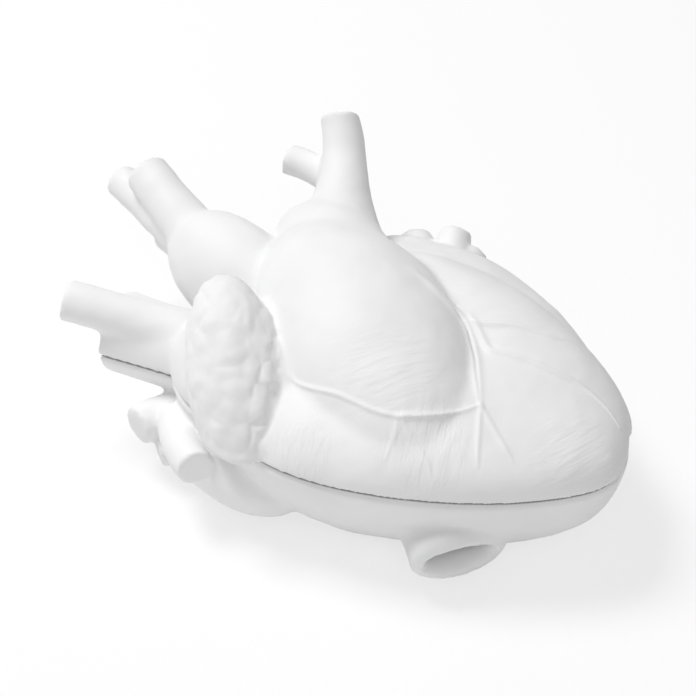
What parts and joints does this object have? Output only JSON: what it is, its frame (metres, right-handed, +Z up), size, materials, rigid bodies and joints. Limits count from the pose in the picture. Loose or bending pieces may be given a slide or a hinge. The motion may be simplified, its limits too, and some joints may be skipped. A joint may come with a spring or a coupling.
{
  "type": "wind up music box",
  "caption": "White porcelain music box shaped like a human heart lying on its back, with a lift-off lid over a wind-up cylinder movement and a winding key underneath.",
  "frame": {"origin": "middle of the overall box, on the surface it stands on", "axes": "+Z up, +Y towards the great vessels and away from the apex, +X towards the heart's left side"},
  "size_m": [0.1343, 0.2057, 0.0819],
  "materials": {
    "porcelain": "matte unglazed white porcelain, softly rounded edges",
    "felt": "thin pressed felt",
    "frame_brass": "die-cast frame with a satin brass finish",
    "barrel_brass": "turned brass with fine circular lines",
    "cylinder_brass": "polished brass tube",
    "wheel_brass": "stamped brass",
    "arbor_steel": "turned steel",
    "comb_steel": "ground and hardened steel",
    "spring_steel": "blued spring steel",
    "fan_brass": "thin brass sheet",
    "lever_steel": "stamped steel",
    "key_nickel": "nickel-plated steel",
    "screw_steel": "zinc-plated steel"
  },
  "bodies": {
    "base": {"base": "porcelain", "foot_pads": "felt", "bedplate": "frame_brass", "mounting_screws": "screw_steel", "comb": "comb_steel", "end_bracket": "frame_brass", "governor_bracket": "frame_brass", "barrel_bridge": "frame_brass", "clutch_spring": "spring_steel", "lever_pivot": "arbor_steel"},
    "lid": {"lid": "porcelain"},
    "winding": {"winding_arbor": "arbor_steel", "winding_key": "key_nickel"},
    "barrel": {"spring_barrel": "barrel_brass", "barrel_cover": "barrel_brass", "mainspring": "spring_steel"},
    "cylinder": {"cylinder": "cylinder_brass", "cylinder_arbor": "arbor_steel", "cylinder_wheel": "wheel_brass"},
    "idler": {"idler_arbor": "arbor_steel", "worm_wheel": "wheel_brass"},
    "governor": {"worm_shaft": "arbor_steel", "fan": "fan_brass"},
    "stop_lever": {"stop_lever": "lever_steel"}
  },
  "joints": [
    {"name": "lid_lift", "type": "slide", "parent": "base", "child": "lid", "axis": [0, 0, 1], "range_m": [0, 0.15]},
    {"name": "key_wind", "type": "hinge", "parent": "base", "child": "winding", "pos_m": [-0.002, -0.018, 0.0075], "axis": [0, 0, 1], "range_deg": [0, 1440]},
    {"name": "barrel_spin", "type": "hinge", "parent": "base", "child": "barrel", "pos_m": [-0.002, -0.018, 0.0235], "axis": [0, 0, 1], "continuous": true},
    {"name": "cylinder_spin", "type": "hinge", "parent": "base", "child": "cylinder", "pos_m": [-0.002, -0.032, 0.03461], "axis": [0, 1, 0], "continuous": true},
    {"name": "idler_spin", "type": "hinge", "parent": "base", "child": "idler", "pos_m": [-0.01213, -0.0443, 0.02876], "axis": [0, 1, 0], "continuous": true},
    {"name": "governor_spin", "type": "hinge", "parent": "base", "child": "governor", "pos_m": [-0.01763, -0.0443, 0.02876], "axis": [0, 0, 1], "continuous": true},
    {"name": "stop_lever_tilt", "type": "hinge", "parent": "base", "child": "stop_lever", "pos_m": [-0.02663, -0.0386, 0.0398], "axis": [0, 1, 0], "range_deg": [0, 12]}
  ],
  "couplings": [
    {"joint": "cylinder_spin", "follows": "barrel_spin", "ratio": -3},
    {"joint": "idler_spin", "follows": "barrel_spin", "ratio": 9},
    {"joint": "governor_spin", "follows": "barrel_spin", "ratio": -72},
    {"joint": "stop_lever_tilt", "follows": "lid_lift", "rad_per_m": 1.3962}
  ]
}
